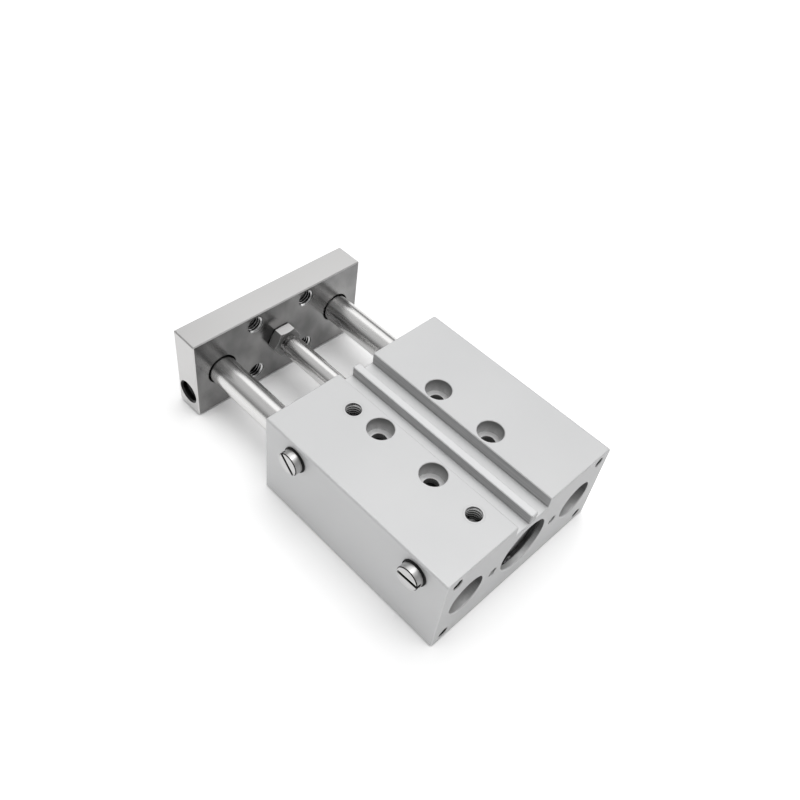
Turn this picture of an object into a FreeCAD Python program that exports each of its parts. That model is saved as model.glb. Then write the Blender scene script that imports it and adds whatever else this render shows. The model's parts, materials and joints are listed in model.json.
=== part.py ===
import FreeCAD, Part
import math
import os

# Guided pneumatic cylinder, 12 mm bore and 25 mm stroke, drawn with its plate fully out.
# Millimetres. +Y is the way the plate travels, +Z is up, +X is to the right when looking along +Y.
# The origin is the centre of the four mounting holes, on the underside of the body.
# Threads are drawn as plain cylinders of their nominal diameter, on the screw and in the hole alike.

Vector = FreeCAD.Vector
rightwards = Vector(1, 0, 0)
ahead = Vector(0, 1, 0)
backwards = Vector(0, -1, 0)
downwards = Vector(0, 0, -1)

# Stroke, and the space left between body and plate when the plate is right in
stroke = 25.0
closed_gap = 4.5

# Body extrusion. Its length follows from the stroke and from what the bore holds.
body_width = 58.0
body_height = 26.5
body_corner_radius = 0.6
body_end_chamfer = 0.25
mount_centre_from_rear = 31.25

# Sensor groove along the top, split in two by a low rib
groove_width = 11.8
groove_depth = 3.4
groove_rib_width = 2.2
groove_rib_drop = 0.5
groove_edge_chamfer = 0.2

# Cylinder bore, and the wider mouths that take the rear cap and the rod cover
bore_diameter = 12.0
mouth_diameter = 15.5
rear_mouth_depth = 8.0
front_mouth_depth = 10.0
rear_cap_recess = 2.6
rod_cover_recess = 2.3
mouth_chamfer = 0.3
cap_edge_chamfer = 0.3

# O-rings of the two caps
oring_section = 1.2
oring_groove_width = 1.6

# Retaining rings in front of the two caps
ring_thickness = 1.0
ring_groove_depth = 0.5
ring_inset = 0.7
ring_gap_angle = 50.0
ring_gap_direction = 225.0
ring_lug_diameter = 2.4
ring_lug_hole = 1.0
ring_lug_clearance = 0.1

# Rod seal in the rod cover
rod_seal_width = 2.6
rod_seal_depth = 1.9
rod_seal_from_face = 1.0
rod_seal_lip = 0.4

# Guide rods and what carries them
guide_from_side = 9.0
guide_rod_diameter = 8.0
guide_rod_chamfer = 0.5
guide_rod_rear_margin = 2.0
bush_wall = 1.5
bush_length = 11.0
bush_gap = 2.5
bush_chamfer = 0.3
felt_length = 2.8
felt_gap = 0.5
felt_holder_length = 1.5
felt_holder_recess = 0.6

# Piston rod and the jam nut behind the plate
piston_rod_diameter = 6.0
rod_thread_diameter = 5.0
rod_thread_exposed = 1.8
rod_chamfer = 0.3
rod_shoulder_chamfer = 0.1
rod_end_recess = 1.0
rod_spigot_diameter = 4.0
rod_spigot_proud = 0.7
jam_nut_across_flats = 8.0
jam_nut_thickness = 3.2
nut_face_margin = 0.1
nut_crown_angle = 30.0
nut_washer_face = 0.2

# Piston, from its rear face: land, seal, land, magnet, land, wear ring, land
piston_rear_land = 2.2
piston_seal_width = 2.2
piston_inner_land = 1.0
magnet_width = 2.6
wear_ring_width = 2.4
piston_front_land = 1.5
piston_groove_depth = 1.3
piston_clearance = 0.08
magnet_clearance = 0.2
piston_seal_lip = 0.4
piston_end_gap = 0.3
bumper_diameter = 10.4
bumper_thickness = 1.5
piston_nut_across_flats = 7.0
piston_nut_thickness = 2.2
piston_nut_recess = 2.0
piston_nut_clearance = 0.3

# End plate, the sockets for the guide rods and the screws that hold them
plate_inset_x = 0.6
plate_inset_z = 0.5
plate_thickness = 8.4
plate_edge_chamfer = 0.3
rod_socket_depth = 2.5
rod_socket_clearance = 0.4
rod_socket_chamfer = 0.1
guide_bolt_thread = 4.0
guide_bolt_clearance = 0.25
guide_bolt_head_diameter = 7.0
guide_bolt_head_height = 2.8
guide_bolt_counterbore = 7.6
guide_bolt_sink = 0.4
guide_bolt_hex = 2.5
guide_bolt_hex_depth = 1.5
guide_bolt_engagement = 7.0
guide_bolt_hole_spare = 1.5

# Tapped holes of the plate
plate_hole_thread = 5.0
plate_hole_spacing = 17.5
plate_hole_rise = 0.65
plate_end_thread = 6.0
plate_end_depth = 5.0
plate_end_drop = 6.9
plate_end_chamfer = 0.5

# Mounting holes down through the body
mount_spacing_x = 20.1
mount_spacing_y = 17.5
mount_hole_diameter = 4.0
mount_counterbore_diameter = 6.8
mount_counterbore_depth = 4.2
hole_edge_chamfer = 0.15

# Air ports, and the drilled passages from them to the bore
port_thread = 5.0
port_depth = 5.0
port_inset = 1.0
top_port_offset = 11.0
side_port_from_top = 4.8
passage_diameter = 1.6
passage_end_offset = 1.5
passage_entry = 0.9

# Plugs in the side ports, and their gaskets
plug_head_diameter = 6.2
plug_head_height = 2.0
plug_edge_chamfer = 0.2
plug_slot_width = 1.0
plug_slot_depth = 1.2
plug_thread_length = 4.2
plug_gasket_diameter = 6.9
plug_gasket_thickness = 0.45
gasket_edge = 0.1
front_plug_turn = 44.5
rear_plug_turn = -4.0

# Holes in the rear face
rear_hole_thread = 3.0
rear_hole_depth = 5.0
rear_hole_inset_x = 3.7
rear_hole_inset_z = 2.45
pin_hole_diameter = 2.7
pin_hole_depth = 5.0
pin_hole_spacing = 22.0

# Fits and tools
seat_gap = 0.01
seal_gap = 0.02
running_gap = 0.03
holder_gap = 0.06
drill_point_angle = 118.0
thread_chamfer = 0.1

# Places that follow from the sizes above
axis_z = body_height / 2
half_width = body_width / 2
side_port_z = body_height - side_port_from_top
piston_lands = piston_rear_land + 2 * piston_inner_land + piston_front_land
piston_length = piston_lands + piston_seal_width + magnet_width + wear_ring_width
chamber_length = stroke + piston_length + 2 * (bumper_thickness + piston_end_gap)
body_length = rear_mouth_depth + chamber_length + front_mouth_depth
rear_y = -mount_centre_from_rear
front_y = rear_y + body_length
chamber_start = rear_y + rear_mouth_depth
chamber_end = front_y - front_mouth_depth
rear_cap_start = rear_y + rear_cap_recess
rod_cover_end = front_y - rod_cover_recess
rod_seal_end = rod_cover_end - rod_seal_from_face
rod_seal_start = rod_seal_end - rod_seal_width
plate_back = front_y + closed_gap + stroke
plate_front = plate_back + plate_thickness
rod_socket_end = plate_back + rod_socket_depth
guide_bolt_seat = plate_front - guide_bolt_sink - guide_bolt_head_height
nut_start = plate_back - jam_nut_thickness
rod_shoulder = nut_start - rod_thread_exposed
piston_front = chamber_end - piston_end_gap - bumper_thickness
piston_rear = piston_front - piston_length
seal_start = piston_rear + piston_rear_land
seal_end = seal_start + piston_seal_width
magnet_start = seal_end + piston_inner_land
magnet_end = magnet_start + magnet_width
wear_start = magnet_end + piston_inner_land
wear_end = wear_start + wear_ring_width
guide_rod_start = rear_y + guide_rod_rear_margin + stroke
holder_start = front_y - felt_holder_recess - felt_holder_length
felt_start = holder_start - felt_length
front_bush_start = felt_start - felt_gap - bush_length
rear_bush_start = front_bush_start - bush_gap - bush_length
guide_x = half_width - guide_from_side
guide_places = {"left": -guide_x, "right": guide_x}
port_places = {"front": chamber_end - port_inset, "rear": chamber_start + port_inset}
plug_turns = {"front": front_plug_turn, "rear": rear_plug_turn}

# Radii that several pieces share
bore_radius = bore_diameter / 2
mouth_radius = mouth_diameter / 2
guide_radius = guide_rod_diameter / 2
guide_bore_radius = guide_radius + bush_wall
piston_rod_radius = piston_rod_diameter / 2
spigot_radius = rod_spigot_diameter / 2
nut_pocket_radius = piston_nut_across_flats / math.sqrt(3) + piston_nut_clearance


def revolved(profile, start, direction):
    """Solid turned about the line through start along direction. Profile corners are (distance, radius)."""
    corners = [Vector(radius, 0, distance) for distance, radius in profile]
    face = Part.Face(Part.makePolygon(corners + corners[:1]))
    solid = face.revolve(Vector(0, 0, 0), Vector(0, 0, 1), 360)
    if solid.Volume < 0:
        solid.reverse()
    solid.Placement = FreeCAD.Placement(start, FreeCAD.Rotation(Vector(0, 0, 1), direction))
    return solid


def turned(profile, x=0.0):
    """Solid turned about the line along Y at x, half way up the body. Profile corners are (y, radius)."""
    return revolved(profile, Vector(x, 0, axis_z), ahead)


def tube(start, end, outer, inner, chamfer=0.0, x=0.0):
    """Ring or tube along Y, with its outer edges chamfered where a chamfer is given."""
    profile = [(start, inner), (start, outer - chamfer)]
    if chamfer > 0:
        profile += [(start + chamfer, outer), (end - chamfer, outer)]
    profile += [(end, outer - chamfer), (end, inner)]
    return turned(profile, x)


def hole_cutter(start, direction, radius, depth, chamfer):
    """Cutter for a drilled blind hole: chamfered mouth, straight wall, drill point."""
    point = radius / math.tan(math.radians(drill_point_angle / 2))
    profile = [
        (-chamfer, 0),
        (-chamfer, radius + 2 * chamfer),
        (chamfer, radius),
        (depth, radius),
        (depth + point, 0),
    ]
    return revolved(profile, start, direction)


def through_cutter(start, direction, radius, depth, chamfer):
    """Cutter for a hole through a wall, with both its mouths chamfered."""
    profile = [
        (-chamfer, 0),
        (-chamfer, radius + 2 * chamfer),
        (chamfer, radius),
        (depth - chamfer, radius),
        (depth + chamfer, radius + 2 * chamfer),
        (depth + chamfer, 0),
    ]
    return revolved(profile, start, direction)


def hexagon(across_flats, start, end, x=0.0):
    """Hexagonal prism along Y with a flat on top."""
    corner = across_flats / math.sqrt(3)
    points = []
    for turn in range(0, 360, 60):
        angle = math.radians(turn)
        points.append(Vector(x + corner * math.cos(angle), start, axis_z + corner * math.sin(angle)))
    return Part.Face(Part.makePolygon(points + points[:1])).extrude(Vector(0, end - start, 0))


def hexagon_nut(across_flats, start, end, hole_radius):
    """Hexagon nut on the cylinder's axis, crowned at its start, with a round washer face at its end."""
    face_radius = across_flats / 2 - nut_face_margin
    flats_end = end - nut_washer_face
    waist = face_radius + (flats_end - start) / math.tan(math.radians(nut_crown_angle))
    crown = turned([
        (start, 0),
        (start, face_radius),
        (flats_end, waist),
        (flats_end, face_radius),
        (end, face_radius),
        (end, 0),
    ])
    hole_start = Vector(0, start, axis_z)
    hole = through_cutter(hole_start, ahead, hole_radius, end - start, hole_edge_chamfer)
    return hexagon(across_flats, start, end).common(crown).cut(hole)


def rounded_face(corners, y):
    """Face in the XZ plane at y. Each corner is (x, z, radius), and radius 0 leaves it sharp."""
    joints = []
    for i, (x, z, radius) in enumerate(corners):
        here = Vector(x, y, z)
        before = corners[i - 1]
        after = corners[(i + 1) % len(corners)]
        back = (Vector(before[0], y, before[1]) - here).normalize()
        ahead = (Vector(after[0], y, after[1]) - here).normalize()
        if radius == 0:
            joints.append((here, here, here))
            continue
        half_angle = back.getAngle(ahead) / 2
        reach = radius / math.tan(half_angle)
        middle = here + (back + ahead).normalize() * (radius / math.sin(half_angle) - radius)
        joints.append((here + back * reach, middle, here + ahead * reach))
    edges = []
    for i, (arc_start, middle, arc_end) in enumerate(joints):
        if middle != arc_end:
            edges.append(Part.Arc(arc_start, middle, arc_end).toShape())
        next_start = joints[(i + 1) % len(joints)][0]
        edges.append(Part.LineSegment(arc_end, next_start).toShape())
    return Part.Face(Part.Wire(edges))


def body_section():
    """Section of the extrusion: a rounded block with the split sensor groove in its top."""
    groove = groove_width / 2
    rib = groove_rib_width / 2
    floor_z = body_height - groove_depth
    rib_z = body_height - groove_rib_drop
    bevel = groove_edge_chamfer
    right_side = [
        (half_width, 0, body_corner_radius),
        (half_width, body_height, body_corner_radius),
        (groove + bevel, body_height, 0),
        (groove, body_height - bevel, 0),
        (groove, floor_z, 0),
        (rib, floor_z, 0),
        (rib, rib_z - bevel, 0),
        (rib - bevel, rib_z, 0),
    ]
    left_side = [(-x, z, radius) for x, z, radius in reversed(right_side)]
    return rounded_face(right_side + left_side, rear_y)


def cylinder_bore():
    """Cutter for the bore, its two wider mouths and the grooves for the retaining rings."""
    groove = mouth_radius + ring_groove_depth
    return turned([
        (rear_y - mouth_chamfer, 0),
        (rear_y - mouth_chamfer, mouth_radius + 2 * mouth_chamfer),
        (rear_y + mouth_chamfer, mouth_radius),
        (rear_cap_start - ring_thickness - seat_gap, mouth_radius),
        (rear_cap_start - ring_thickness - seat_gap, groove),
        (rear_cap_start, groove),
        (rear_cap_start, mouth_radius),
        (chamber_start, mouth_radius),
        (chamber_start, bore_radius),
        (chamber_end, bore_radius),
        (chamber_end, mouth_radius),
        (rod_cover_end, mouth_radius),
        (rod_cover_end, groove),
        (rod_cover_end + ring_thickness + seat_gap, groove),
        (rod_cover_end + ring_thickness + seat_gap, mouth_radius),
        (front_y - mouth_chamfer, mouth_radius),
        (front_y + mouth_chamfer, mouth_radius + 2 * mouth_chamfer),
        (front_y + mouth_chamfer, 0),
    ])


def mounting_holes():
    """Cutters for the four counterbored holes, from the top down to the underside."""
    counterbore = mount_counterbore_diameter / 2
    hole = mount_hole_diameter / 2
    edge = hole_edge_chamfer
    profile = [
        (-edge, 0),
        (-edge, counterbore + 2 * edge),
        (edge, counterbore),
        (mount_counterbore_depth, counterbore),
        (mount_counterbore_depth, hole),
        (body_height - edge, hole),
        (body_height + edge, hole + 2 * edge),
        (body_height + edge, 0),
    ]
    cutters = []
    for x in (-mount_spacing_x / 2, mount_spacing_x / 2):
        for y in (-mount_spacing_y / 2, mount_spacing_y / 2):
            cutters.append(revolved(profile, Vector(x, y, body_height), downwards))
    return cutters


def air_ports():
    """Cutters for the ports at each end: one in the left side, one in the top, and their passages."""
    thread = port_thread / 2
    cutters = []
    for y in port_places.values():
        side_mouth = Vector(-half_width, y, side_port_z)
        top_mouth = Vector(-top_port_offset, y, body_height)
        cutters.append(hole_cutter(side_mouth, rightwards, thread, port_depth, thread_chamfer))
        cutters.append(hole_cutter(top_mouth, downwards, thread, port_depth, thread_chamfer))
        start = side_mouth + Vector(port_depth, 0, 0)
        end = Vector(-passage_end_offset, y, axis_z + bore_radius - passage_entry)
        run = end - start
        cutters.append(Part.makeCylinder(passage_diameter / 2, run.Length, start, run))
        share = (top_mouth.x - start.x) / run.x
        drop_start = top_mouth + downwards * port_depth
        drop = drop_start.z - (start.z + share * run.z)
        cutters.append(Part.makeCylinder(passage_diameter / 2, drop, drop_start, downwards))
    return cutters


def rear_face_holes():
    """Cutters for the four tapped corner holes and the two pin holes in the rear face."""
    thread = rear_hole_thread / 2
    pin = pin_hole_diameter / 2
    corner_x = half_width - rear_hole_inset_x
    cutters = []
    for x in (-corner_x, corner_x):
        for z in (rear_hole_inset_z, body_height - rear_hole_inset_z):
            mouth = Vector(x, rear_y, z)
            cutters.append(hole_cutter(mouth, ahead, thread, rear_hole_depth, thread_chamfer))
    for x in (-pin_hole_spacing / 2, pin_hole_spacing / 2):
        mouth = Vector(x, rear_y, axis_z)
        cutters.append(hole_cutter(mouth, ahead, pin, pin_hole_depth, hole_edge_chamfer))
    return cutters


def make_body_block():
    block = body_section().extrude(Vector(0, body_length, 0))
    end_edges = [edge for edge in block.Edges if edge.BoundBox.YLength < body_length / 2]
    block = block.makeChamfer(body_end_chamfer, end_edges)
    cutters = [cylinder_bore()] + mounting_holes() + air_ports() + rear_face_holes()
    for x in guide_places.values():
        mouth = Vector(x, rear_y, axis_z)
        cutters.append(through_cutter(mouth, ahead, guide_bore_radius, body_length, mouth_chamfer))
    return block.cut(cutters)


def make_guide_bush(start, x):
    outer = guide_bore_radius - seat_gap
    return tube(start, start + bush_length, outer, guide_radius + running_gap, bush_chamfer, x)


def make_guide_felt(x):
    outer = guide_bore_radius - seat_gap
    return tube(felt_start, holder_start - seat_gap, outer, guide_radius + running_gap, 0, x)


def make_felt_holder(x):
    outer = guide_bore_radius - seat_gap
    end = holder_start + felt_holder_length
    return tube(holder_start, end, outer, guide_radius + holder_gap, bush_chamfer, x)


def oring_groove(cap_start, cap_end):
    """Corners of the groove round a cap, half way along it."""
    middle = (cap_start + cap_end) / 2
    start = middle - oring_groove_width / 2
    end = middle + oring_groove_width / 2
    floor = mouth_radius - oring_section - 2 * seat_gap
    rim = mouth_radius - seat_gap
    return [(start, rim), (start, floor), (end, floor), (end, rim)]


def make_oring(cap_start, cap_end):
    """O-ring squeezed between its groove and the mouth: an eight-sided section with flats on both."""
    middle = (cap_start + cap_end) / 2
    ring_radius = mouth_radius - seat_gap - oring_section / 2
    corner = oring_section / 2 / math.cos(math.radians(22.5))
    angles = [math.radians(22.5 + 45 * turn) for turn in range(8)]
    return turned([(middle + corner * math.cos(a), ring_radius + corner * math.sin(a)) for a in angles])


def make_rear_cap():
    rim = mouth_radius - seat_gap
    profile = [
        (rear_cap_start, 0),
        (rear_cap_start, rim - cap_edge_chamfer),
        (rear_cap_start + cap_edge_chamfer, rim),
    ]
    profile += oring_groove(rear_cap_start, chamber_start)
    profile += [(chamber_start - seat_gap, rim), (chamber_start - seat_gap, 0)]
    return turned(profile)


def make_rod_cover():
    rim = mouth_radius - seat_gap
    hole = piston_rod_radius + running_gap
    seal_floor = piston_rod_radius + rod_seal_depth
    profile = [(chamber_end + seat_gap, hole), (chamber_end + seat_gap, rim)]
    profile += oring_groove(chamber_end, rod_cover_end)
    profile += [
        (rod_cover_end - cap_edge_chamfer, rim),
        (rod_cover_end, rim - cap_edge_chamfer),
        (rod_cover_end, hole + cap_edge_chamfer),
        (rod_cover_end - cap_edge_chamfer, hole),
        (rod_seal_end, hole),
        (rod_seal_end, seal_floor),
        (rod_seal_start, seal_floor),
        (rod_seal_start, hole),
    ]
    return turned(profile)


def make_rod_seal():
    """Lip seal: a U section that opens towards the chamber."""
    inner = piston_rod_radius + seal_gap
    outer = piston_rod_radius + rod_seal_depth - seat_gap
    start = rod_seal_start + seat_gap
    end = rod_seal_end - seat_gap
    return turned([
        (start, inner),
        (start, inner + rod_seal_lip),
        ((start + end) / 2, (inner + outer) / 2),
        (start, outer - rod_seal_lip),
        (start, outer),
        (end, outer),
        (end, inner + rod_seal_lip),
        (end - rod_seal_lip, inner),
    ])


def make_retaining_ring(start):
    """Ring in its groove in the mouth, with an eyed lug on each side of its gap."""
    outer = mouth_radius + ring_groove_depth - seat_gap
    inner = mouth_radius - ring_inset
    lug_radius = ring_lug_diameter / 2
    lug_place = mouth_radius - ring_lug_clearance - lug_radius
    first = ring_gap_direction + ring_gap_angle / 2
    last = ring_gap_direction + 360 - ring_gap_angle / 2

    def on_ring(radius, turn):
        angle = math.radians(turn)
        return Vector(radius * math.cos(angle), start, axis_z + radius * math.sin(angle))

    half_way = (first + last) / 2
    outline = Part.Wire([
        Part.Arc(on_ring(outer, first), on_ring(outer, half_way), on_ring(outer, last)).toShape(),
        Part.LineSegment(on_ring(outer, last), on_ring(inner, last)).toShape(),
        Part.Arc(on_ring(inner, last), on_ring(inner, half_way), on_ring(inner, first)).toShape(),
        Part.LineSegment(on_ring(inner, first), on_ring(outer, first)).toShape(),
    ])
    ring = Part.Face(outline).extrude(ahead * ring_thickness)
    centres = [on_ring(lug_place, first), on_ring(lug_place, last)]
    lugs = [Part.makeCylinder(lug_radius, ring_thickness, centre, ahead) for centre in centres]
    eyes = [Part.makeCylinder(ring_lug_hole / 2, ring_thickness, centre, ahead) for centre in centres]
    return ring.fuse(lugs).cut(eyes).removeSplitter()


def on_left_side(shape, place):
    """Move a shape drawn outwards along +Y from the origin onto the left side, over a side port."""
    outwards = FreeCAD.Rotation(Vector(0, 0, 1), 90)
    turn = FreeCAD.Rotation(ahead, -plug_turns[place])
    mouth = Vector(-half_width, port_places[place], side_port_z)
    move = FreeCAD.Placement(mouth, outwards.multiply(turn))
    shape.Placement = move.multiply(shape.Placement)
    return shape


def make_port_plug(place):
    """Round slotted plug: its thread in the side port, its head on the gasket."""
    thread = port_thread / 2 - seat_gap
    head = plug_head_diameter / 2
    edge = plug_edge_chamfer
    head_end = plug_gasket_thickness + plug_head_height
    profile = [
        (-plug_thread_length, 0),
        (-plug_thread_length, thread - edge),
        (-plug_thread_length + edge, thread),
        (plug_gasket_thickness, thread),
        (plug_gasket_thickness, head),
        (head_end - edge, head),
        (head_end, head - edge),
        (head_end, 0),
    ]
    plug = revolved(profile, Vector(0, 0, 0), ahead)
    slot_corner = Vector(-plug_head_diameter, head_end - plug_slot_depth, -plug_slot_width / 2)
    slot = Part.makeBox(2 * plug_head_diameter, plug_slot_depth, plug_slot_width, slot_corner)
    return on_left_side(plug.cut(slot), place)


def make_plug_gasket(place):
    inner = port_thread / 2
    outer = plug_gasket_diameter / 2
    end = plug_gasket_thickness - seat_gap
    profile = [
        (seat_gap, inner),
        (seat_gap, outer - gasket_edge),
        (seat_gap + gasket_edge, outer),
        (end - gasket_edge, outer),
        (end, outer - gasket_edge),
        (end, inner),
    ]
    gasket = revolved(profile, Vector(0, 0, 0), ahead)
    return on_left_side(gasket, place)


def rod_socket_cutter(x):
    """Cutter for one guide rod's socket in the plate, its screw's hole and counterbore."""
    socket = guide_radius + rod_socket_clearance
    hole = guide_bolt_thread / 2 + guide_bolt_clearance
    counterbore = guide_bolt_counterbore / 2
    return turned([
        (plate_back - rod_socket_chamfer, 0),
        (plate_back - rod_socket_chamfer, socket + 2 * rod_socket_chamfer),
        (plate_back + rod_socket_chamfer, socket),
        (rod_socket_end, socket),
        (rod_socket_end, hole),
        (guide_bolt_seat, hole),
        (guide_bolt_seat, counterbore),
        (plate_front - mouth_chamfer, counterbore),
        (plate_front + mouth_chamfer, counterbore + 2 * mouth_chamfer),
        (plate_front + mouth_chamfer, 0),
    ], x)


def make_end_plate():
    end_x = half_width - plate_inset_x
    corner = Vector(-end_x, plate_back, plate_inset_z)
    plate = Part.makeBox(2 * end_x, plate_thickness, body_height - 2 * plate_inset_z, corner)
    plate = plate.makeChamfer(plate_edge_chamfer, plate.Edges)
    rod_thread = rod_thread_diameter / 2
    hole_thread = plate_hole_thread / 2
    cutters = [rod_socket_cutter(x) for x in guide_places.values()]
    rod_mouth = Vector(0, plate_back, axis_z)
    cutters.append(through_cutter(rod_mouth, ahead, rod_thread, plate_thickness, thread_chamfer))
    for x in (-plate_hole_spacing / 2, plate_hole_spacing / 2):
        for rise in (-plate_hole_spacing / 2, plate_hole_spacing / 2):
            mouth = Vector(x, plate_back, axis_z + plate_hole_rise + rise)
            cutters.append(through_cutter(mouth, ahead, hole_thread, plate_thickness, thread_chamfer))
    end_mouth = Vector(-end_x, plate_back + plate_thickness / 2, axis_z - plate_end_drop)
    end_thread = plate_end_thread / 2
    cutters.append(hole_cutter(end_mouth, rightwards, end_thread, plate_end_depth, plate_end_chamfer))
    return plate.cut(cutters)


def make_guide_rod(x):
    front = rod_socket_end - seat_gap
    rod = turned([
        (guide_rod_start, 0),
        (guide_rod_start, guide_radius - guide_rod_chamfer),
        (guide_rod_start + guide_rod_chamfer, guide_radius),
        (front, guide_radius),
        (front, 0),
    ], x)
    depth = guide_bolt_engagement + guide_bolt_hole_spare
    mouth = Vector(x, front, axis_z)
    return rod.cut(hole_cutter(mouth, backwards, guide_bolt_thread / 2, depth, thread_chamfer))


def make_guide_bolt(x):
    """Low-headed socket screw, from the front of the plate into the end of a guide rod."""
    thread = guide_bolt_thread / 2 - seat_gap
    head = guide_bolt_head_diameter / 2
    start = rod_socket_end - guide_bolt_engagement
    seat = guide_bolt_seat + seat_gap
    end = plate_front - guide_bolt_sink
    bolt = turned([
        (start, 0),
        (start, thread - rod_chamfer),
        (start + rod_chamfer, thread),
        (seat, thread),
        (seat, head),
        (end - rod_chamfer, head),
        (end, head - rod_chamfer),
        (end, 0),
    ], x)
    return bolt.cut(hexagon(guide_bolt_hex, end - guide_bolt_hex_depth, end, x))


def make_piston_rod():
    """Rod with a spigot for the piston at its rear, and a thread for the nut and the plate at its front."""
    thread = rod_thread_diameter / 2 - seat_gap
    rear_end = piston_rear - rod_spigot_proud
    front_end = plate_front - rod_end_recess
    return turned([
        (rear_end, 0),
        (rear_end, spigot_radius - rod_chamfer),
        (rear_end + rod_chamfer, spigot_radius),
        (piston_front, spigot_radius),
        (piston_front, piston_rod_radius),
        (rod_shoulder - rod_shoulder_chamfer, piston_rod_radius),
        (rod_shoulder, piston_rod_radius - rod_shoulder_chamfer),
        (rod_shoulder, thread),
        (front_end - rod_chamfer, thread),
        (front_end, thread - rod_chamfer),
        (front_end, 0),
    ])


def make_piston():
    """Piston with grooves for its seal, magnet and wear ring, and a recess for its nut."""
    rim = bore_radius - piston_clearance
    floor = bore_radius - piston_groove_depth
    hole = spigot_radius + seat_gap
    front = piston_front - seat_gap
    recess_end = piston_rear + piston_nut_recess
    profile = [
        (recess_end, hole),
        (recess_end, nut_pocket_radius),
        (piston_rear, nut_pocket_radius),
        (piston_rear, rim - cap_edge_chamfer),
        (piston_rear + cap_edge_chamfer, rim),
    ]
    for start, end in ((seal_start, seal_end), (magnet_start, magnet_end), (wear_start, wear_end)):
        profile += [(start, rim), (start, floor), (end, floor), (end, rim)]
    profile += [(front - cap_edge_chamfer, rim), (front, rim - cap_edge_chamfer), (front, hole)]
    return turned(profile)


def make_piston_seal():
    outer = bore_radius - seal_gap
    inner = bore_radius - piston_groove_depth + seat_gap
    return tube(seal_start + seat_gap, seal_end - seat_gap, outer, inner, piston_seal_lip)


def make_magnet_ring():
    outer = bore_radius - magnet_clearance
    inner = bore_radius - piston_groove_depth + seat_gap
    return tube(magnet_start + seat_gap, magnet_end - seat_gap, outer, inner)


def make_wear_ring():
    outer = bore_radius - running_gap
    inner = bore_radius - piston_groove_depth + seat_gap
    return tube(wear_start + seat_gap, wear_end - seat_gap, outer, inner)


def make_piston_nut():
    end = piston_rear + piston_nut_recess - seat_gap
    return hexagon_nut(piston_nut_across_flats, end - piston_nut_thickness, end, spigot_radius + seat_gap)


def make_front_bumper():
    inner = piston_rod_radius + seat_gap
    return tube(piston_front, piston_front + bumper_thickness, bumper_diameter / 2, inner, hole_edge_chamfer)


def make_rear_bumper():
    start = piston_rear - bumper_thickness
    return tube(start, piston_rear - seat_gap, bumper_diameter / 2, nut_pocket_radius, hole_edge_chamfer)


def make_parts():
    """Every piece of the cylinder, by the name of its node."""
    parts = {"body_block": make_body_block()}
    for side, x in guide_places.items():
        parts["guide_bush_front_" + side] = make_guide_bush(front_bush_start, x)
        parts["guide_bush_rear_" + side] = make_guide_bush(rear_bush_start, x)
        parts["guide_felt_" + side] = make_guide_felt(x)
        parts["felt_holder_" + side] = make_felt_holder(x)
        parts["guide_rod_" + side] = make_guide_rod(x)
    for place in port_places:
        parts["port_plug_" + place] = make_port_plug(place)
        parts["plug_gasket_" + place] = make_plug_gasket(place)
    parts["rear_cap"] = make_rear_cap()
    parts["rear_cap_oring"] = make_oring(rear_cap_start, chamber_start)
    parts["rear_cap_ring"] = make_retaining_ring(rear_cap_start - ring_thickness)
    parts["rod_cover"] = make_rod_cover()
    parts["rod_cover_oring"] = make_oring(chamber_end, rod_cover_end)
    parts["rod_cover_ring"] = make_retaining_ring(rod_cover_end)
    parts["rod_seal"] = make_rod_seal()
    parts["end_plate"] = make_end_plate()
    parts["guide_rod_bolts"] = Part.makeCompound([make_guide_bolt(x) for x in guide_places.values()])
    parts["piston_rod"] = make_piston_rod()
    parts["jam_nut"] = hexagon_nut(
        jam_nut_across_flats, nut_start, plate_back - seat_gap, rod_thread_diameter / 2)
    parts["piston"] = make_piston()
    parts["piston_seal"] = make_piston_seal()
    parts["magnet_ring"] = make_magnet_ring()
    parts["wear_ring"] = make_wear_ring()
    parts["piston_nut"] = make_piston_nut()
    parts["bumper_front"] = make_front_bumper()
    parts["bumper_rear"] = make_rear_bumper()
    return parts


os.makedirs("parts", exist_ok=True)
for name, shape in make_parts().items():
    shape.exportStep("parts/" + name + ".step")
    print(name, len(shape.Solids), round(shape.Volume, 1), shape.isValid())
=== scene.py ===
import json
import math

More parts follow.
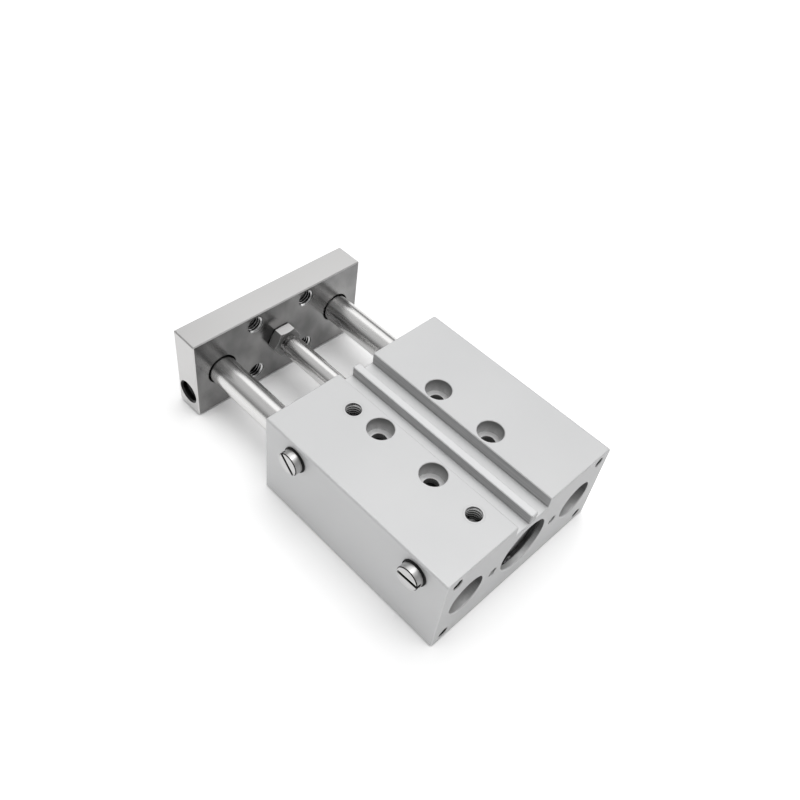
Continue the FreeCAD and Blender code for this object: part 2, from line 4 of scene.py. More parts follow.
import bpy
from mathutils import Euler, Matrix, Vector


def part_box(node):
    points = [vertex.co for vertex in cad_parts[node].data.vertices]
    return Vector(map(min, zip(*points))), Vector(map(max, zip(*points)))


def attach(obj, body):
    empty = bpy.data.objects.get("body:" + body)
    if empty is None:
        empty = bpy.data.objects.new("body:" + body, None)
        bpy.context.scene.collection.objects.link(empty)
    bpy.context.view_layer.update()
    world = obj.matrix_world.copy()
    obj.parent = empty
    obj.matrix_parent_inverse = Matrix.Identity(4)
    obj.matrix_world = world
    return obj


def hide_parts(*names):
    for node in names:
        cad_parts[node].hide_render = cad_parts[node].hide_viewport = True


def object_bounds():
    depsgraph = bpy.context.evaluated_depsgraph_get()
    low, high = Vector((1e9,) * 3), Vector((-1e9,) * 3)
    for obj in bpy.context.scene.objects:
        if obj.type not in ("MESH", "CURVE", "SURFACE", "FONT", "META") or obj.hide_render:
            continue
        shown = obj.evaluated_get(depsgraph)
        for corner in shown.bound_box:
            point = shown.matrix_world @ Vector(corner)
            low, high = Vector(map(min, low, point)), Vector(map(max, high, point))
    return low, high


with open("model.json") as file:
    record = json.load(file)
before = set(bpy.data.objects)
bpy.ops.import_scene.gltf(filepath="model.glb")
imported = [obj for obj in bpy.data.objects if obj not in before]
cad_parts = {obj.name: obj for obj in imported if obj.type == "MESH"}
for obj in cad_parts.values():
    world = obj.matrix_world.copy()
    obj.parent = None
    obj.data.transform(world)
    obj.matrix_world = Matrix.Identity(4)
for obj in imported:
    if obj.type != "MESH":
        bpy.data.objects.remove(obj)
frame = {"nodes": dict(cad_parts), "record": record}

# Looks of the guided pneumatic cylinder: materials, the threads that the CAD leaves plain, camera and light.
# Metres, in the CAD's frame: +Y along the stroke, +Z up, origin under the middle of the mounting holes.

cad_low, cad_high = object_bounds()
mm = 0.001

# Places read from the frame
body_low, body_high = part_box("body_block")
plate_low, plate_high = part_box("end_plate")
nut_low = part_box("jam_nut")[0]
rod_low, rod_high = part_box("piston_rod")
axis_z = (body_low.z + body_high.z) / 2
mounts = {mount["name"]: mount for mount in frame["record"]["mounts"]}


def hole_offsets(name):
    """Half the spacings of a mount's four holes: how far each hole lies from their middle."""
    dims = mounts[name]["dims"]
    return dims["spacing_x_mm"] / 2 * mm, dims["spacing_y_mm"] / 2 * mm


rear_hole_x, rear_hole_z = hole_offsets("rear_holes")
plate_hole_x, plate_hole_z = hole_offsets("plate_holes")

# Sizes of the CAD that the frame doesn't state
groove_half_width = 5.9 * mm
groove_depth = 3.4 * mm
rod_shoulder_gap = 1.8 * mm  # bare thread between the nut and the piston rod's shoulder
rod_thread_radius = 2.49 * mm
coarse_pitch = {3: 0.5 * mm, 5: 0.8 * mm, 6: 1.0 * mm}  # by the thread's size in millimetres


# Materials

class Nodes:
    """Adds nodes to a tree and links them, so that a material reads as a list of steps."""

    def __init__(self, tree, coordinates="Object"):
        """coordinates is the kind of place that the textures go by."""
        self.tree = tree
        self.shader = tree.nodes.get("Principled BSDF")
        self.place = self.add("ShaderNodeTexCoord").outputs[coordinates]

    def add(self, kind, **settings):
        """A new node of this kind, with some of its properties set."""
        node = self.tree.nodes.new(kind)
        for key, value in settings.items():
            setattr(node, key, value)
        return node

    def feed(self, socket, value):
        """Link the socket to another node's output, or set it to a plain value."""
        if isinstance(value, bpy.types.NodeSocket):
            self.tree.links.new(value, socket)
        else:
            socket.default_value = value

    def stretched(self, scale):
        """The place on the piece, stretched by three factors."""
        mapping = self.add("ShaderNodeMapping")
        self.feed(mapping.inputs["Vector"], self.place)
        mapping.inputs["Scale"].default_value = scale
        return mapping.outputs["Vector"]

    def noise(self, scale, detail=2.0, stretch=(1.0, 1.0, 1.0)):
        """Noise near a half, with the scale in waves per metre."""
        node = self.add("ShaderNodeTexNoise")
        self.feed(node.inputs["Vector"], self.stretched(stretch))
        node.inputs["Scale"].default_value = scale
        node.inputs["Detail"].default_value = detail
        return node.outputs["Fac"]

    def mapped(self, value, start, end, low, high):
        """Map a value from the range start to end to the range low to high, held at both ends."""
        node = self.add("ShaderNodeMapRange")
        self.feed(node.inputs["Value"], value)
        node.inputs["From Min"].default_value = start
        node.inputs["From Max"].default_value = end
        self.feed(node.inputs["To Min"], low)
        self.feed(node.inputs["To Max"], high)
        return node.outputs["Result"]

    def spread(self, noise, low, high):
        """Spread a noise, which keeps near a half, over the range from low to high."""
        return self.mapped(noise, 0.25, 0.75, low, high)

    def calc(self, operation, first, second=0.0):
        """One step of arithmetic on numbers or sockets."""
        node = self.add("ShaderNodeMath", operation=operation)
        self.feed(node.inputs[0], first)
        self.feed(node.inputs[1], second)
        return node.outputs["Value"]

    def split(self, vector):
        """The three parts of a vector."""
        node = self.add("ShaderNodeSeparateXYZ")
        self.feed(node.inputs[0], vector)
        return [node.outputs[axis] for axis in "XYZ"]

    def facing(self):
        """The surface's own direction, as its three parts."""
        return self.split(self.add("ShaderNodeNewGeometry").outputs["True Normal"])

    def from_axis(self, across, up):
        """Distance from an axis, from the two offsets at right angles to it."""
        squares = [self.calc("MULTIPLY", offset, offset) for offset in (across, up)]
        return self.calc("SQRT", self.calc("ADD", *squares))

    def between(self, value, low, high):
        """1 where the value lies between low and high, 0 elsewhere."""
        above = self.calc("GREATER_THAN", value, low)
        below = self.calc("LESS_THAN", value, high)
        return self.calc("MULTIPLY", above, below)

    def all_of(self, *masks):
        """1 where every mask is 1."""
        total = masks[0]
        for mask in masks[1:]:
            total = self.calc("MULTIPLY", total, mask)
        return total

    def openness(self, distance):
        """How open the place is: 1 in the open, 0 at the bottom of a deep hole."""
        node = self.add("ShaderNodeAmbientOcclusion", samples=8)
        node.inputs["Distance"].default_value = distance
        return node.outputs["AO"]

    def corner_shade(self, distance, start, end, low):
        """A factor for darkness in corners and holes: low where openness is below start, 1 above end."""
        return self.mapped(self.openness(distance), start, end, low, 1.0)

    def mix(self, mask, off, on):
        """A number that is off where the mask is 0 and on where it is 1."""
        node = self.add("ShaderNodeMix", data_type="FLOAT")
        self.feed(node.inputs["Factor"], mask)
        self.feed(node.inputs["A"], off)
        self.feed(node.inputs["B"], on)
        return node.outputs["Result"]

    def mix_colors(self, mask, off, on):
        """A colour that is off where the mask is 0 and on where it is 1."""
        node = self.add("ShaderNodeMix", data_type="RGBA")
        color_a, color_b = 6, 7  # this node has an A and a B for each kind of data
        self.feed(node.inputs["Factor"], mask)
        self.feed(node.inputs[color_a], off)
        self.feed(node.inputs[color_b], on)
        return node.outputs[2]

    def dimmed(self, color, factor):
        """The colour times a number."""
        node = self.add("ShaderNodeVectorMath", operation="SCALE")
        self.feed(node.inputs[0], color)
        self.feed(node.inputs["Scale"], factor)
        return node.outputs["Vector"]

    def shade(self, value, dark, light):
        """Colour between dark and light by a 0 to 1 value."""
        return self.mix_colors(value, (*dark, 1.0), (*light, 1.0))

    def bump(self, height, distance, strength=1.0, under=None):
        """A normal bent by a height, on top of another normal where one is given."""
        node = self.add("ShaderNodeBump")
        self.feed(node.inputs["Height"], height)
        node.inputs["Distance"].default_value = distance
        node.inputs["Strength"].default_value = strength
        if under is not None:
            self.feed(node.inputs["Normal"], under)
        return node.outputs["Normal"]

    def rounded_edges(self, radius):
        """A normal that rounds sharp edges to the radius."""
        node = self.add("ShaderNodeBevel", samples=6)
        node.inputs["Radius"].default_value = radius
        return node.outputs["Normal"]

    def seen_directly(self):
        """1 for rays that show the background itself: camera, glossy and transmission rays."""
        path = self.add("ShaderNodeLightPath")
        total = path.outputs["Is Camera Ray"]
        for kind in ("Is Glossy Ray", "Is Transmission Ray"):
            total = self.calc("MAXIMUM", total, path.outputs[kind])
        return total

    def finish(self, color, roughness, normal=None, metallic=1.0, others=None):
        """Join the results to the shader. others holds values for more sockets, by the socket's name."""
        values = {"Base Color": color, "Roughness": roughness, "Metallic": metallic, **(others or {})}
        if normal is not None:
            values["Normal"] = normal
        for name, value in values.items():
            self.feed(self.shader.inputs[name], value)


def grey(value, warmth=0.0):
    """A grey a little warmer (or cooler, below 0) than neutral, as linear RGB."""
    return (value * (1 + warmth), value, value * (1 - warmth))


def start_material(name):
    """A new material with a plain Principled shader, and the helper that adds its nodes."""
    material = bpy.data.materials.new(name)
    material.use_nodes = True
    return material, Nodes(material.node_tree)


def anodised_aluminium():
    """Blasted and clear anodised: a pale matte grey with a grain just too fine to see.

    The holes are cut afterwards: bare walls, a little smoother than the skin, with painted shade that
    darkens them with depth."""
    material, nodes = start_material("anodised_aluminium")
    x, y, z = nodes.split(nodes.place)
    _, normal_y, normal_z = nodes.facing()
    from_middle = nodes.calc("ABSOLUTE", x)
    skin = 0.3 * mm
    slack = 0.05 * mm
    inside = nodes.all_of(
        nodes.calc("LESS_THAN", from_middle, body_high.x - 2 * skin),
        nodes.between(y, body_low.y + skin, body_high.y - skin),
        nodes.between(z, body_low.z + skin, body_high.z - 0.02 * mm),
    )
    in_groove = nodes.all_of(
        nodes.calc("LESS_THAN", from_middle, groove_half_width + slack),
        nodes.calc("GREATER_THAN", z, body_high.z - groove_depth - slack),
    )
    upright = nodes.calc("LESS_THAN", nodes.calc("ABSOLUTE", normal_z), 0.6)
    rear_face = nodes.calc("LESS_THAN", normal_y, -0.9)
    groove_wall = nodes.all_of(in_groove, upright)
    hole = nodes.all_of(inside, nodes.calc("SUBTRACT", 1.0, in_groove))

    # the skin: painted shade darkens the rear face a little and the groove's walls, which carry drawing
    # marks; painted light makes the groove's floor lighter; painted shade gathers in corners
    grain = nodes.noise(9000.0, 3.0)
    cloud = nodes.noise(45.0, 2.0)
    draw_lines = nodes.noise(2600.0, 3.0, (1.0, 0.02, 1.0))
    skin_color = nodes.shade(cloud, grey(0.68, -0.006), grey(0.74, -0.002))
    wall_shade = nodes.spread(draw_lines, 0.58, 0.82)
    # painted shade on the rear face, painted light on the groove's floor
    open_shade = nodes.mix(in_groove, nodes.mix(rear_face, 1.0, 0.87), 1.12)
    skin_color = nodes.dimmed(skin_color, nodes.mix(groove_wall, open_shade, wall_shade))
    # painted shade in corners
    skin_color = nodes.dimmed(skin_color, nodes.corner_shade(0.8 * mm, 0.42, 0.66, 0.35))

    # the holes, with painted shade: floors light, walls dark at the mouth, and near black in the rear corner
    # holes
    tool_marks = nodes.noise(3200.0, 2.0, (0.15, 0.15, 1.0))
    bare = nodes.shade(tool_marks, grey(0.84), grey(0.98))
    top_zone = 6 * mm  # holes that open upwards, down to this depth
    near_top = nodes.calc("GREATER_THAN", z, body_high.z - top_zone)
    fade_start, fade_end = 0.5 * mm, 4 * mm  # below the top: a counterbore's wall lightens between them
    # painted shade on a counterbore's wall, darkest at the lip
    counterbore_wall_shade = nodes.mapped(z, body_high.z - fade_end, body_high.z - fade_start, 0.85, 0.34)
    lit = nodes.mapped(normal_z, 0.20, 0.98, nodes.mix(near_top, 0.22, counterbore_wall_shade), 1.0)
    bare = nodes.dimmed(bare, nodes.calc("MULTIPLY", lit, nodes.corner_shade(7 * mm, 0.03, 0.20, 0.01)))
    off_middle_z = nodes.calc("ABSOLUTE", nodes.calc("SUBTRACT", z, axis_z))
    corner_reach = 1.55 * mm  # half the width of the zone round each rear corner hole
    corner_length = 6 * mm  # how far the zone goes in, past the hole's end
    in_corner = nodes.all_of(
        nodes.between(from_middle, rear_hole_x - corner_reach, rear_hole_x + corner_reach),
        nodes.between(off_middle_z, rear_hole_z - corner_reach, rear_hole_z + corner_reach),
        nodes.calc("LESS_THAN", y, body_low.y + corner_length),
    )
    # painted shade: the rear corner holes near black
    bare = nodes.dimmed(bare, nodes.mix(in_corner, 1.0, 0.06))

    nodes.finish(
        color=nodes.mix_colors(hole, skin_color, bare),
        roughness=nodes.mix(hole, nodes.spread(grain, 0.52, 0.64), 0.46),
        normal=nodes.bump(grain, 0.004 * mm, 0.6, nodes.rounded_edges(0.14 * mm)),
        metallic=0.50,
    )
    return material


def plate_steel():
    """Ground and plated. The back is left glossier, with a painted dark reflection that makes it darker, and
    slow cloudy changes.
    """
    material, nodes = start_material("plate_steel")
    x, y, z = nodes.split(nodes.place)
    _, normal_y, normal_z = nodes.facing()
    skin = 0.35 * mm
    face_skin = 0.02 * mm
    end_zone_radius = 3.49 * mm  # round the end hole and its chamfer
    end_zone_length = 8 * mm  # past the hole's floor
    through = nodes.all_of(
        nodes.between(x, plate_low.x + skin, plate_high.x - skin),
        nodes.between(y, plate_low.y + face_skin, plate_high.y - face_skin),
        nodes.between(z, plate_low.z + skin, plate_high.z - skin),
    )
    end_place = mounts["plate_end_hole"]["pos_m"]
    off_y = nodes.calc("SUBTRACT", y, end_place[1])
    off_z = nodes.calc("SUBTRACT", z, end_place[2])
    in_end_hole = nodes.all_of(
        nodes.calc("LESS_THAN", nodes.from_axis(off_y, off_z), end_zone_radius),
        nodes.between(x, plate_low.x + 0.01 * mm, plate_low.x + end_zone_length),
    )
    hole = nodes.calc("MAXIMUM", through, in_end_hole)
    back = nodes.calc("LESS_THAN", normal_y, -0.9)

    grinding = nodes.noise(900.0, 3.0, (0.04, 1.0, 1.0))
    cloud = nodes.noise(70.0, 2.0)
    smear = nodes.noise(260.0, 3.0, (1.0, 1.0, 0.6))
    satin = nodes.shade(cloud, grey(0.57, 0.006), grey(0.63, 0.008))
    # painted dark reflection on the back, with slow cloudy changes
    painted_dark_back = nodes.shade(nodes.spread(cloud, 0.0, 1.0), grey(0.14, -0.01), grey(0.34, 0.012))
    painted_dark_back = nodes.dimmed(painted_dark_back, nodes.spread(smear, 0.85, 1.15))
    color = nodes.mix_colors(back, satin, painted_dark_back)
    # painted shade in corners and where parts meet
    color = nodes.dimmed(color, nodes.corner_shade(2.0 * mm, 0.30, 0.75, 0.12))

    # painted shade in the holes: lit by facing, darker with depth, and the end hole near black
    lit = nodes.mapped(normal_z, 0.0, 0.6, 0.10, 0.60)
    hole_shade = nodes.calc("MULTIPLY", lit, nodes.corner_shade(6 * mm, 0.06, 0.30, 0.01))
    bare = nodes.dimmed(nodes.shade(smear, grey(0.55), grey(0.75)), hole_shade)
    bare = nodes.dimmed(bare, nodes.mix(in_end_hole, 1.0, 0.12))
    nodes.finish(
        color=nodes.mix_colors(hole, color, bare),
        roughness=nodes.mix(back, nodes.spread(cloud, 0.36, 0.44), nodes.spread(cloud, 0.16, 0.26)),
        normal=nodes.bump(grinding, 0.0015 * mm, 0.3, nodes.rounded_edges(0.05 * mm)),
    )
    return material


def cut_thread():
    """Freshly cut thread, with painted shade: bright crests, and grooves that go black between them and with
    depth.

    A painted shadow darkens the first turns in the plate's end hole."""
    material, nodes = start_material("cut_thread")
    x, y, _ = nodes.split(nodes.place)
    torn = nodes.noise(4200.0, 3.0)
    # painted shade in the grooves and with depth
    crest_shade = nodes.corner_shade(0.6 * mm, 0.56, 0.86, 0.004)
    depth_shade = nodes.corner_shade(6 * mm, 0.12, 0.50, 0.02)
    shadowed_length = 2.2 * mm
    in_end_mouth = nodes.all_of(
        nodes.calc("LESS_THAN", x, plate_low.x + shadowed_length),
        nodes.calc("GREATER_THAN", y, plate_low.y),
    )
    # painted shadow on the first turns of the end hole
    color = nodes.dimmed(nodes.shade(torn, grey(0.66), grey(0.84)), nodes.mix(in_end_mouth, 1.0, 0.05))
    nodes.finish(
        color=nodes.dimmed(color, nodes.calc("MULTIPLY", crest_shade, depth_shade)),
        roughness=nodes.spread(torn, 0.20, 0.32),
        normal=nodes.bump(torn, 0.003 * mm, 0.3),
    )
    return material


def chromed_rod():
    """Hard chrome, ground round and round: bright, with hair-fine rings and a few long marks.

    The piston rod's thread is darker."""
    material, nodes = start_material("chromed_rod")
    x, y, z = nodes.split(nodes.place)
    rings = nodes.noise(900.0, 3.0, (0.12, 1.0, 0.12))
    marks = nodes.noise(420.0, 4.0, (1.0, 0.05, 1.0))
    from_middle = nodes.from_axis(x, nodes.calc("SUBTRACT", z, axis_z))
    on_thread = nodes.all_of(
        nodes.calc("GREATER_THAN", y, nut_low.y - rod_shoulder_gap + 0.01 * mm),
        nodes.calc("LESS_THAN", from_middle, rod_thread_radius + 0.06 * mm),
    )
    chrome = nodes.shade(marks, grey(0.64, 0.012), grey(0.78, 0.004))
    nodes.finish(
        color=nodes.dimmed(chrome, nodes.mix(on_thread, 1.0, 0.35)),
        roughness=nodes.spread(marks, 0.20, 0.30),
        normal=nodes.bump(rings, 0.0015 * mm, 0.35),
    )
    return material


def nut_steel():
    """Plated steel, with painted light where it faces up, painted shade elsewhere and against the plate, and
    a painted highlight along its edges.
    """
    material, nodes = start_material("nut_steel")
    normal_z = nodes.facing()[2]
    cloud = nodes.noise(240.0, 2.0)
    # painted light where it faces up, painted shade elsewhere
    lit = nodes.mapped(normal_z, 0.55, 0.80, 0.20, 1.0)
    color = nodes.shade(cloud, grey(0.90, 0.010), grey(0.97, 0.006))
    # painted shade where the nut meets the plate
    contact_shade = nodes.corner_shade(1.2 * mm, 0.30, 0.70, 0.10)
    color = nodes.dimmed(color, nodes.calc("MULTIPLY", lit, contact_shade))
    rounded = nodes.rounded_edges(0.14 * mm)
    # painted highlight along the edges, where the rounded normal leaves the flat one
    flatness = nodes.add("ShaderNodeVectorMath", operation="DOT_PRODUCT")
    nodes.feed(flatness.inputs[0], rounded)
    nodes.feed(flatness.inputs[1], nodes.add("ShaderNodeNewGeometry").outputs["True Normal"])
    edge_highlight = nodes.mapped(flatness.outputs["Value"], 0.90, 0.99, 0.8, 0.0)
    nodes.finish(
        color=nodes.mix_colors(edge_highlight, color, (0.92, 0.92, 0.91, 1.0)),
        roughness=nodes.spread(cloud, 0.34, 0.42),
        normal=nodes.bump(cloud, 0.002 * mm, 0.2, rounded),
        metallic=0.15,
    )
    return material


def plug_steel():
    """Plated plugs, with painted shade that makes the slot and the chamfer round the head near black."""
    material, nodes = start_material("plug_steel")
    normal_x = nodes.facing()[0]
    # painted shade: the chamfer round the head near black
    chamfer = nodes.between(nodes.calc("ABSOLUTE", normal_x), 0.4, 0.95)
    cloud = nodes.noise(500.0, 2.0)
    face = nodes.shade(cloud, grey(0.50, 0.006), grey(0.66, 0.004))
    # painted shade in the slot and where the head meets the body
    face = nodes.dimmed(face, nodes.corner_shade(1.8 * mm, 0.45, 0.88, 0.01))
    nodes.finish(
        color=nodes.dimmed(face, nodes.mix(chamfer, 1.0, 0.04)),
        roughness=nodes.spread(cloud, 0.30, 0.40),
        normal=nodes.bump(cloud, 0.002 * mm, 0.2, nodes.rounded_edges(0.05 * mm)),
    )
    return material


def black_steel(name):
    """Black oxide with a little oil on it."""
    material, nodes = start_material(name)
    cloud = nodes.noise(700.0, 3.0)
    nodes.finish(
        color=nodes.shade(cloud, grey(0.035), grey(0.075)),
        roughness=nodes.spread(cloud, 0.25, 0.42),
        normal=nodes.bump(cloud, 0.004 * mm, 0.3, nodes.rounded_edges(0.08 * mm)),
        metallic=0.85,
    )
    return material


def turned_aluminium():
    """Lathe-turned face: faint rings about the axis along Y, with painted shade in the recess."""
    material, nodes = start_material("turned_aluminium")
    x, _, z = nodes.split(nodes.place)
    turning = nodes.add("ShaderNodeTexNoise", noise_dimensions="1D")
    nodes.feed(turning.inputs["W"], nodes.from_axis(x, nodes.calc("SUBTRACT", z, axis_z)))
    turning.inputs["Scale"].default_value = 5200.0
    turning.inputs["Detail"].default_value = 2.0
    rings = turning.outputs["Fac"]
    color = nodes.shade(rings, grey(0.46, -0.004), grey(0.62, -0.004))
    # painted shade in the recess and its corners
    nodes.finish(
        color=nodes.dimmed(color, nodes.corner_shade(3.0 * mm, 0.35, 0.95, 0.25)),
        roughness=nodes.spread(rings, 0.26, 0.40),
        normal=nodes.bump(rings, 0.003 * mm, 0.4),
    )
    return material


def bearing_bronze():
    """Sintered bronze: warm, with tiny pores."""
    material, nodes = start_material("bearing_bronze")
    pores = nodes.noise(5000.0, 4.0)
    nodes.finish(
        color=nodes.shade(pores, (0.36, 0.22, 0.09), (0.62, 0.44, 0.21)),
        roughness=nodes.spread(pores, 0.34, 0.52),
        normal=nodes.bump(pores, 0.010 * mm, 0.5),
    )
    return material


def soft_black(name, light, roughness):
    """Rubber or dark resin."""
    material, nodes = start_material(name)
    mottle = nodes.noise(1800.0, 4.0)
    nodes.finish(
        color=nodes.shade(mottle, grey(light * 0.6), grey(light)),
        roughness=nodes.spread(mottle, roughness - 0.08, roughness + 0.08),
        normal=nodes.bump(mottle, 0.012 * mm, 0.5),
        metallic=0.0,
        others={"Specular IOR Level": 0.2},
    )
    return material


def wool_felt():
    """Pale wool: coarse fibres that lie along the rod."""
    material, nodes = start_material("felt")
    fibres = nodes.noise(2600.0, 5.0, (1.0, 0.4, 1.0))
    nodes.finish(
        color=nodes.shade(fibres, (0.42, 0.36, 0.25), (0.72, 0.66, 0.52)),
        roughness=nodes.spread(fibres, 0.85, 0.98),
        normal=nodes.bump(fibres, 0.05 * mm, 0.9),
        metallic=0.0,
        others={"Sheen Weight": 0.3},
    )
    return material


materials = {
    "anodised_aluminium": anodised_aluminium(),
    "plate_steel": plate_steel(),
    "chromed_rod": chromed_rod(),
    "nut_steel": nut_steel(),
    "plug_steel": plug_steel(),
    "spring_steel": black_steel("spring_steel"),
    "screw_steel": black_steel("screw_steel"),
    "turned_aluminium": turned_aluminium(),
    "bearing_bronze": bearing_bronze(),
    "seal_rubber": soft_black("seal_rubber", 0.012, 0.60),
    "wear_resin": soft_black("wear_resin", 0.060, 0.45),
    "magnet": soft_black("magnet", 0.045, 0.60),
    "felt": wool_felt(),
}


def dress_cad_nodes():
    """Give each CAD node the material of its slot in the record."""
    for subpart in frame["record"]["subparts"]:
        node = frame["nodes"][subpart["node"]]
        for material_slot in node.material_slots:
            material_slot.material = materials[subpart["material_slot"]]


dress_cad_nodes()


# Threads

thread_finish = cut_thread()
thread_depth = 0.54  # in pitches
end_clearance = 1.1  # in pitches, a little more than the width of the ridge's base
wall_overlap = 0.02 * mm  # how far a thread's base runs into the hole's wall
sharp_angle = math.radians(35.0)


def mesh_piece(name, points, faces, material, body, finish=None):
    """A visible piece with a slot and a body. Its edges are sharp above sharp_angle."""
    mesh = bpy.data.meshes.new(name)
    mesh.from_pydata(points, [], faces)
    mesh.validate()
    mesh.materials.append(finish or materials[material])
    mesh.shade_smooth()
    piece = bpy.data.objects.new(name, mesh)
    bpy.context.scene.collection.objects.link(piece)
    mesh.set_sharp_from_angle(angle=sharp_angle)
    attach(piece, body)
    return piece


def directions_of(outwards):
    """A hole's axis, and two directions at right angles to it and to each other."""
    axis = Vector(outwards).normalized()
    side = axis.orthogonal().normalized()
    return axis, side, axis.cross(side)


def section_points(mouth, directions, angle, section):
    """A section's points, each given as (place along the axis, radius), at one angle round a hole."""
    axis, side, up = directions
    radial = side * math.cos(angle) + up * math.sin(angle)
    return [Vector(mouth) + axis * along + radial * radius for along, radius in section]


def tapped_thread(name, mouth, outwards, diameter, pitch, start, length, material, body):
    """Helical ridge inside a tapped hole: from the hole's wall in to the thread's minor diameter.

    mouth is the centre of the hole's mouth, outwards points out of it, and start is how far in it begins."""
    segments = 48
    half_base, half_crest = 0.46, 0.07  # in pitches
    wall = diameter / 2 + wall_overlap
    crest = diameter / 2 - thread_depth * pitch
    profile = [(-half_base, wall), (-half_crest, crest), (half_crest, crest), (half_base, wall)]
    directions = directions_of(outwards)
    steps = int(length / pitch * segments)
    points = []
    for step in range(steps + 1):
        along = -start - pitch * (half_base + step / segments)
        section = [(along + offset * pitch, radius) for offset, radius in profile]
        points += section_points(mouth, directions, math.tau * step / segments, section)
    faces = []
    width = len(profile)
    for step in range(steps):
        for k in range(width - 1):
            first = step * width + k
            faces.append((first, first + 1, first + 1 + width, first + width))
    faces.append(tuple(range(width)))
    faces.append(tuple(range(steps * width, (steps + 1) * width))[::-1])
    mesh_piece(name, points, faces, material, body, thread_finish)


def thread_land(name, mouth, outwards, diameter, pitch, material, body):
    """Flush rim round the mouth of a tapped hole, from the hole's edge in to the minor diameter."""
    segments = 64
    edge = diameter / 2 + 0.094 * mm
    wall = diameter / 2 + wall_overlap
    crest = diameter / 2 - thread_depth * pitch
    top, bottom = -0.004 * mm, -0.35 * pitch
    section = [(top, edge), (top, crest), (bottom, crest), (bottom, wall)]
    directions = directions_of(outwards)
    points = []
    for k in range(segments):
        points += section_points(mouth, directions, math.tau * k / segments, section)
    faces = []
    width = len(section)
    for k in range(segments):
        here = k * width
        there = (k + 1) % segments * width
        for j in range(width):
            after = (j + 1) % width
            faces.append((here + j, here + after, there + after, there + j))
    mesh_piece(name, points, faces, material, body)


def tapped_holes():
    """Every open tapped hole: (name, mouth, outwards, size in millimetres, start, depth, material, body).

    start is how far inside the mouth the thread begins."""
    blind_depth = 5.0 * mm
    at_mouth = 0.1 * mm
    in_body = ("anodised_aluminium", "housing")
    in_plate = ("plate_steel", "slide_unit")
    holes = []
    for name in ("air_port_rear", "air_port_front"):
        x, y, _ = mounts[name]["pos_m"]
        holes.append((name, (x, y, body_high.z), (0, 0, 1), 5, at_mouth, blind_depth, *in_body))
    _, y, z = mounts["plate_end_hole"]["pos_m"]
    holes.append(("plate_end", (plate_low.x, y, z), (-1, 0, 0), 6, 0.9 * mm, blind_depth, *in_plate))
    plate_z = mounts["plate_holes"]["pos_m"][2]
    plate_depth = plate_high.y - plate_low.y
    backwards = (0, -1, 0)
    for x_name, x_sign in (("left", -1), ("right", 1)):
        for z_name, z_sign in (("low", -1), ("high", 1)):
            corner = x_name + "_" + z_name
            mouth = (x_sign * rear_hole_x, body_low.y, axis_z + z_sign * rear_hole_z)
            holes.append(("rear_" + corner, mouth, backwards, 3, 0.5 * mm, blind_depth, *in_body))
            mouth = (x_sign * plate_hole_x, plate_low.y, plate_z + z_sign * plate_hole_z)
            holes.append(("plate_" + corner, mouth, backwards, 5, at_mouth, plate_depth, *in_plate))
    return holes


def cut_threads():
    """The thread of every tapped hole, and a rim round the two air ports."""
    for name, mouth, outwards, size, start, depth, material, body in tapped_holes():
        pitch = coarse_pitch[size]
        length = depth - start - end_clearance * pitch
        tapped_thread(name + "_thread", mouth, outwards, size * mm, pitch, start, length, material, body)
        if name.startswith("air_port"):
            thread_land(name + "_land", mouth, outwards, size * mm, pitch, material, body)


cut_threads()


def lathe_grid(name, rings, segments, material, body):
    """Surface of revolution about the cylinder's axis. Each ring is (y, radius at an angle)."""
    points = []
    for y, radius_at in rings:
        for k in range(segments):
            angle = math.tau * k / segments
            radius = radius_at(angle)
            points.append((radius * math.cos(angle), y, axis_z + radius * math.sin(angle)))
    faces = []
    for i in range(len(rings) - 1):
        for k in range(segments):
            here = i * segments + k
            beside = i * segments + (k + 1) % segments
            faces.append((here, beside, beside + segments, here + segments))
    faces.append(tuple(range(segments)))
    last = (len(rings) - 1) * segments
    faces.append(tuple(range(last, last + segments))[::-1])
    return mesh_piece(name, points, faces, material, body)


def piston_rod():
    """The piston rod with its real thread, which shows between its shoulder and the nut.

    The rings go from the piston's end to the plate's front: spigot, rod, shoulder and thread."""
    rod_radius = (rod_high.x - rod_low.x) / 2
    spigot_radius = 2.0 * mm
    chamfer = 0.3 * mm
    shoulder_chamfer = 0.1 * mm
    pitch = coarse_pitch[5]
    root = rod_thread_radius - 0.6 * pitch
    root_flat, flank_width = 0.1, 0.75  # in half pitches, from the middle of the root
    steps_per_pitch = 10
    shoulder = nut_low.y - rod_shoulder_gap
    piston_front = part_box("piston")[1].y + 0.01 * mm

    def plain(radius):
        """The same radius all round."""
        return lambda angle: radius

    def threaded(y, limit):
        """The thread's radius round the rod at y, held under a limit."""
        def radius_at(angle):
            phase = (y / pitch - angle / math.tau) % 1.0
            from_root = abs(phase - 0.5) * 2
            height = min(max((from_root - root_flat) / flank_width, 0.0), 1.0)
            return min(root + (rod_thread_radius - root) * height, limit)
        return radius_at

    rings = [
        (rod_low.y, plain(spigot_radius - chamfer)),
        (rod_low.y + chamfer, plain(spigot_radius)),
        (piston_front, plain(spigot_radius)),
        (piston_front, plain(rod_radius)),
        (shoulder - shoulder_chamfer, plain(rod_radius)),
        (shoulder, plain(rod_radius - shoulder_chamfer)),
        (shoulder, plain(root)),
    ]
    count = int((rod_high.y - shoulder) / (pitch / steps_per_pitch))
    for i in range(count + 1):
        y = shoulder + (rod_high.y - shoulder) * i / count
        end_limit = rod_thread_radius - max(0.0, y - (rod_high.y - chamfer))
        rings.append((y, threaded(y, end_limit)))
    rod = lathe_grid("piston_rod_threaded", rings, 56, "chromed_rod", "slide_unit")
    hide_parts("piston_rod")


piston_rod()


# Camera, floor and light

object_middle = (0.0, 0.018, 0.013)


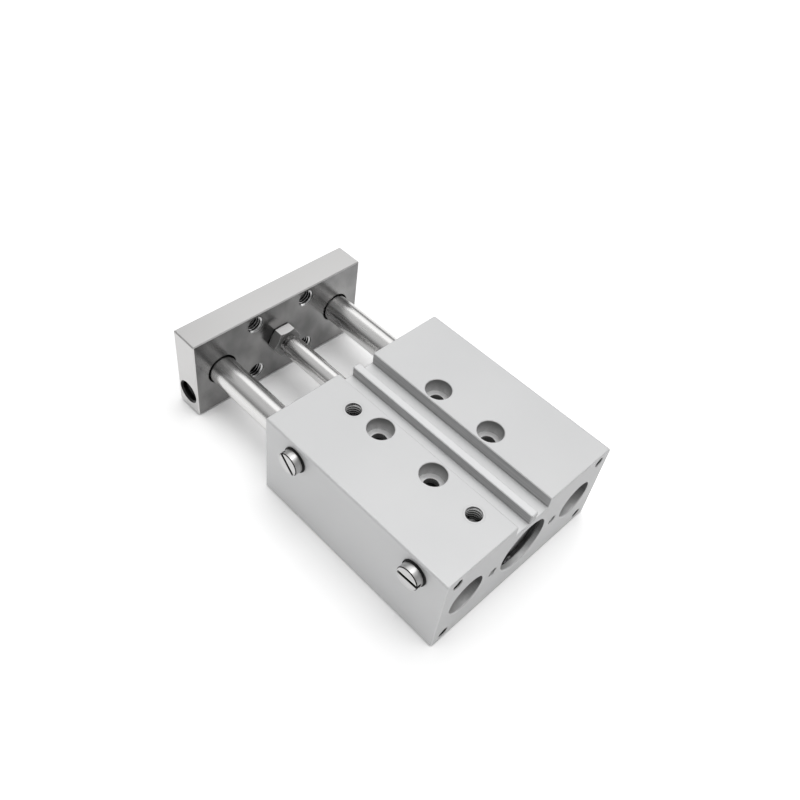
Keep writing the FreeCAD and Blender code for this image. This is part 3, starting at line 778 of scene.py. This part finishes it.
def add_camera():
    """The photo's camera, as fitted to the edges in the photo."""
    camera = bpy.data.cameras.new("camera")
    camera.sensor_width = 36.0
    camera.lens = 38.25
    camera.clip_start = 0.01
    camera.clip_end = 10.0
    holder = bpy.data.objects.new("camera", camera)
    holder.location = (-0.10995, -0.07451, 0.18039)
    holder.rotation_euler = Euler([math.radians(angle) for angle in (41.905, -6.410, -44.589)], "XYZ")
    bpy.context.scene.collection.objects.link(holder)
    bpy.context.scene.camera = holder


def add_floor():
    """White floor that keeps the object's shadow; the lift takes the open floor just to white.

    The lift grows away from the object, where the lamps give less light."""
    half_width = 12.0
    near_lift, far_lift = 0.36, 0.80
    near, far = 0.2, 1.0
    shadow_reach = 30 * mm
    mesh = bpy.data.meshes.new("floor")
    corners = [(x * half_width, y * half_width, 0) for x, y in ((-1, -1), (1, -1), (1, 1), (-1, 1))]
    mesh.from_pydata(corners, [], [(0, 1, 2, 3)])
    floor = bpy.data.objects.new("floor", mesh)
    floor.location.z = cad_low.z - 0.02 * mm
    bpy.context.scene.collection.objects.link(floor)
    material, nodes = start_material("floor_white")
    x, y, _ = nodes.split(nodes.place)
    lift_here = nodes.mapped(nodes.from_axis(x, y), near, far, near_lift, far_lift)
    open_floor = nodes.mapped(nodes.openness(shadow_reach), 0.20, 0.60, 0.0, lift_here)
    lift = nodes.calc("MULTIPLY", nodes.seen_directly(), open_floor)
    nodes.finish(
        color=(0.93, 0.93, 0.93, 1.0),
        roughness=0.9,
        metallic=0.0,
        others={"Emission Color": (1.0, 1.0, 1.0, 1.0), "Emission Strength": lift},
    )
    mesh.materials.append(material)


def add_world():
    """Soft studio: bright overhead, darker towards the horizon, and white low down where it is seen."""
    world = bpy.data.worlds.new("studio")
    bpy.context.scene.world = world
    world.use_nodes = True
    nodes = Nodes(world.node_tree, "Generated")
    height = nodes.split(nodes.place)[2]
    ramp = nodes.add("ShaderNodeValToRGB")
    nodes.feed(ramp.inputs["Fac"], height)
    stops = ramp.color_ramp.elements
    stops[0].position, stops[1].position = 0.02, 0.72
    stops.new(0.36)
    for stop, light in zip(stops, (0.10, 0.20, 0.64)):
        stop.color = (*grey(light), 1.0)
    near_horizon = nodes.mapped(height, 0.18, 0.21, 1.0, 0.0)
    whitened = nodes.calc("MULTIPLY", near_horizon, nodes.seen_directly())
    light = nodes.mix_colors(whitened, ramp.outputs["Color"], (1.0, 1.0, 1.0, 1.0))
    nodes.feed(world.node_tree.nodes["Background"].inputs["Color"], light)


def add_softbox(name, place, size, power):
    """An area lamp that faces the object."""
    lamp = bpy.data.lights.new(name, "AREA")
    lamp.shape = "RECTANGLE"
    lamp.size, lamp.size_y = size
    lamp.energy = power
    holder = bpy.data.objects.new(name, lamp)
    holder.location = place
    holder.rotation_euler = (Vector(object_middle) - Vector(place)).to_track_quat("-Z", "Y").to_euler()
    bpy.context.scene.collection.objects.link(holder)


add_camera()
add_floor()
add_world()
for name, place, size, power in (
    ("key", (0.08, -0.02, 0.60), (0.35, 0.35), 1.09),
    ("fill", (0.30, -0.45, 0.40), (0.50, 0.40), 0.05),
    ("back", (0.36, 0.31, 0.50), (0.50, 0.40), 0.48),
):
    add_softbox(name, place, size, power)

scene = bpy.context.scene
scene.view_settings.view_transform = "Standard"
